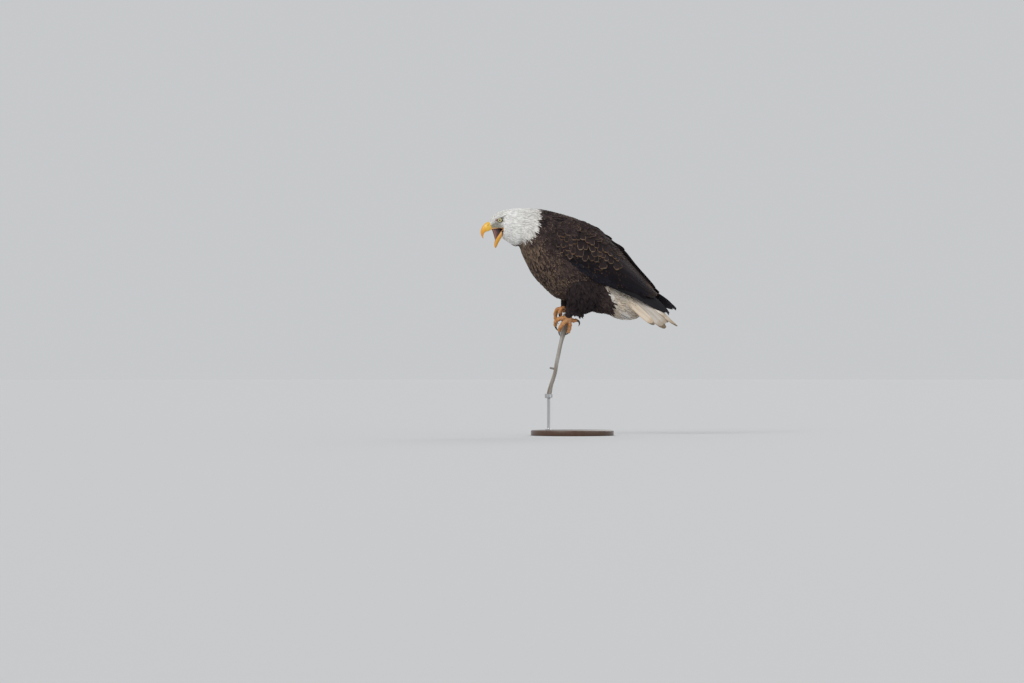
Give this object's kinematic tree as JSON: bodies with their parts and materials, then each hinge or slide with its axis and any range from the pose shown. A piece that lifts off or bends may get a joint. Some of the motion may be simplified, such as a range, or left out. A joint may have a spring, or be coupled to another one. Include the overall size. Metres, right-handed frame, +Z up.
{
  "type": "bald eagle model",
  "caption": "Life-size still model of an adult bald eagle perched on a cut branch, leaning forward and calling, on a display stand.",
  "frame": {"origin": "centre of the display stand base's flat underside, on the floor", "axes": "+Z up; -Y the way the bird faces; +X the bird's left"},
  "size_m": [0.34, 0.8011, 0.9311],
  "materials": {
    "white_plumage": "soft lanceolate feathers, white with grey shadow between them",
    "brown_plumage": "dark brown contour feathers with buff tips, matte",
    "flight_feathers": "blue-black stiff vanes with a faint sheen",
    "tail_feathers": "off-white vanes with brown streaks near the shafts and edges",
    "yellow_bill": "smooth horn, orange-yellow, satin",
    "yellow_skin": "scaled orange-yellow skin, pinkish on the knuckles",
    "talon_horn": "black horn, satin",
    "eye": "pale yellow iris under a clear wet cornea",
    "mouth": "moist dark pink lining",
    "weathered_wood": "grey weathered dead wood, bark gone, cracked",
    "stand_wood": "dark stained hardwood, satin",
    "stand_steel": "brushed, satin"
  },
  "bodies": {
    "root": {"head": "white_plumage", "neck": "white_plumage", "tail_coverts": "white_plumage", "trunk": "brown_plumage", "wing_left": "brown_plumage", "wing_right": "brown_plumage", "thigh_left": "brown_plumage", "thigh_right": "brown_plumage", "tarsus_left": "brown_plumage", "tarsus_right": "brown_plumage", "primaries_left": "flight_feathers", "primaries_right": "flight_feathers", "tail": "tail_feathers", "bill_upper": "yellow_bill", "bill_lower": "yellow_bill", "foot_left": "yellow_skin", "foot_right": "yellow_skin", "toe_left_1": "yellow_skin", "toe_left_2": "yellow_skin", "toe_left_3": "yellow_skin", "toe_left_4": "yellow_skin", "toe_right_1": "yellow_skin", "toe_right_2": "yellow_skin", "toe_right_3": "yellow_skin", "toe_right_4": "yellow_skin", "talon_left_1": "talon_horn", "talon_left_2": "talon_horn", "talon_left_3": "talon_horn", "talon_left_4": "talon_horn", "talon_right_1": "talon_horn", "talon_right_2": "talon_horn", "talon_right_3": "talon_horn", "talon_right_4": "talon_horn", "eye_left": "eye", "eye_right": "eye", "tongue": "mouth", "mouth_lining": "mouth", "perch_branch": "weathered_wood", "branch_twig": "weathered_wood", "stand_base": "stand_wood", "stand_rod": "stand_steel", "stand_collar": "stand_steel"}
  },
  "joints": []
}
